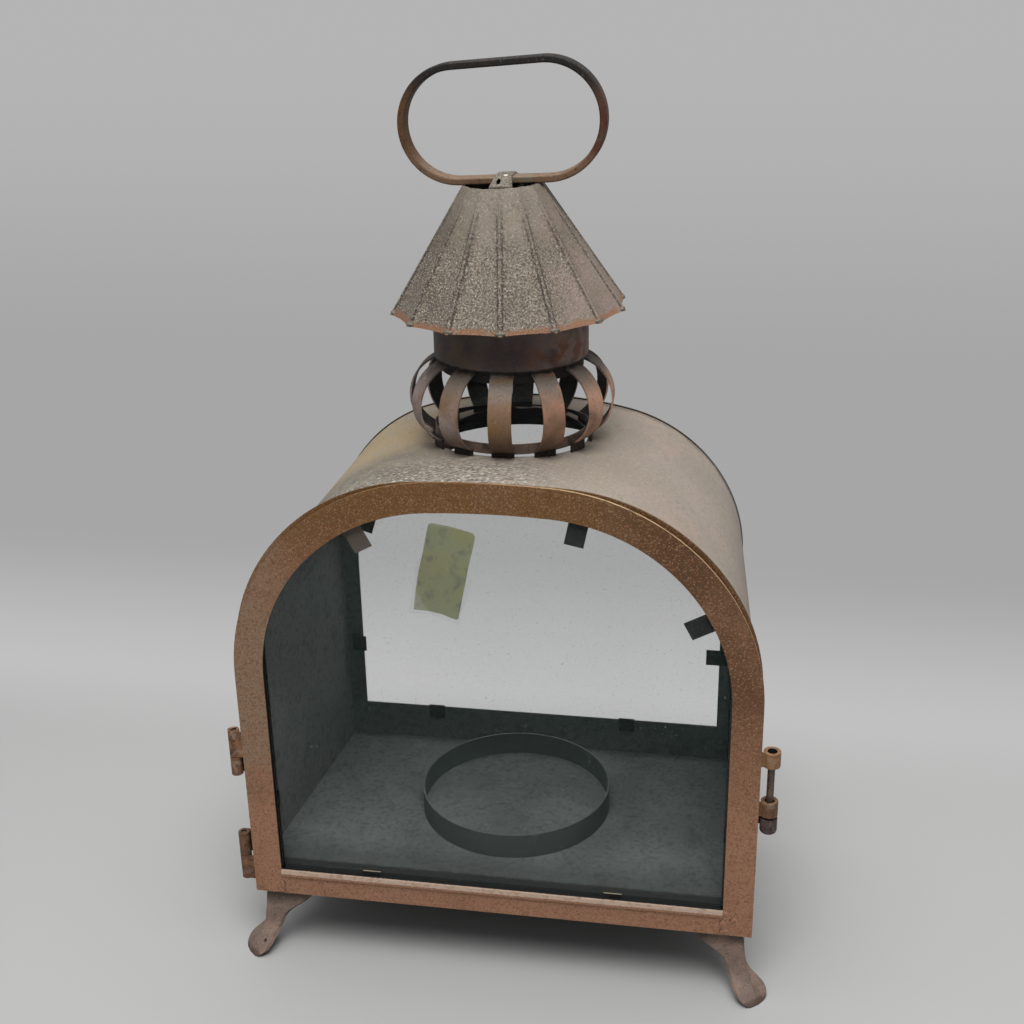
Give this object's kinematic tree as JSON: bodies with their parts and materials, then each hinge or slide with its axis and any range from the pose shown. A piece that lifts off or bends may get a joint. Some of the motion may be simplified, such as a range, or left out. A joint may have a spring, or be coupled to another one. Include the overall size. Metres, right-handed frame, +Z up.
{
  "type": "arched tin candle lantern",
  "caption": "Arched sheet-metal candle lantern with a hinged glazed door, drop-pin latch, glazed back, bowed-strip chimney, fluted conical hat, loop handle and splayed spoon feet.",
  "frame": {"origin": "on the ground plane, at the middle of the footprint", "axes": "+Z up; +X to the right of someone facing the door; the door faces -Y"},
  "size_m": [0.2995, 0.1738, 0.4905],
  "materials": {
    "glass": "clear, old, slightly hazy",
    "copper_brown_tin": "weathered copper-brown with fine pale speckle",
    "roof_tin": "weathered grey-beige, stained at the edges",
    "dark_tin": "sooty dark grey, dusty",
    "speckled_tin": "grey-beige with dense dark brown speckle",
    "rusty_tin": "dull purple-brown to copper, rust in patches",
    "leg_tin": "worn grey-brown",
    "handle_steel": "dark brown, worn at the edges",
    "pin_steel": "dull grey-brown",
    "hinge_tin": "rusty copper-brown"
  },
  "bodies": {
    "frame": {"back_glass": "glass", "back_glass_tabs": "dark_tin", "back_panel": "dark_tin", "body_wrap": "roof_tin", "candle_pan": "dark_tin", "chimney_collar": "rusty_tin", "chimney_foot_ring": "rusty_tin", "chimney_strip_01": "rusty_tin", "chimney_strip_02": "rusty_tin", "chimney_strip_03": "rusty_tin", "chimney_strip_04": "rusty_tin", "chimney_strip_05": "rusty_tin", "chimney_strip_06": "rusty_tin", "chimney_strip_07": "rusty_tin", "chimney_strip_08": "rusty_tin", "chimney_strip_09": "rusty_tin", "chimney_strip_10": "rusty_tin", "chimney_strip_11": "rusty_tin", "chimney_strip_12": "rusty_tin", "chimney_top_ring": "rusty_tin", "floor_tray": "dark_tin", "front_rim": "copper_brown_tin", "handle_clip": "handle_steel", "handle_strap": "handle_steel", "hat_cone": "speckled_tin", "latch_socket": "hinge_tin", "leg_back_left": "leg_tin", "leg_back_right": "leg_tin", "leg_front_left": "leg_tin", "leg_front_right": "leg_tin", "lower_hinge_body_knuckle": "hinge_tin", "lower_hinge_pin": "pin_steel", "upper_hinge_body_knuckle": "hinge_tin", "upper_hinge_pin": "pin_steel"},
    "door": {"door_arch_frame": "copper_brown_tin", "door_bottom_rail": "copper_brown_tin", "door_glass": "glass", "door_glass_tabs": "dark_tin", "upper_hinge_door_knuckle": "hinge_tin", "lower_hinge_door_knuckle": "hinge_tin", "latch_upper_eye": "hinge_tin", "latch_lower_eye": "hinge_tin"},
    "latch_pin": {"latch_pin": "pin_steel"}
  },
  "joints": [
    {"name": "door_hinge", "type": "hinge", "parent": "frame", "child": "door", "pos_m": [-0.1458, -0.0736, 0.095], "axis": [0, 0, -1], "range_deg": [0, 170]},
    {"name": "latch_slide", "type": "slide", "parent": "door", "child": "latch_pin", "axis": [0, 0, 1], "range_m": [-0.008, 0.004]}
  ]
}
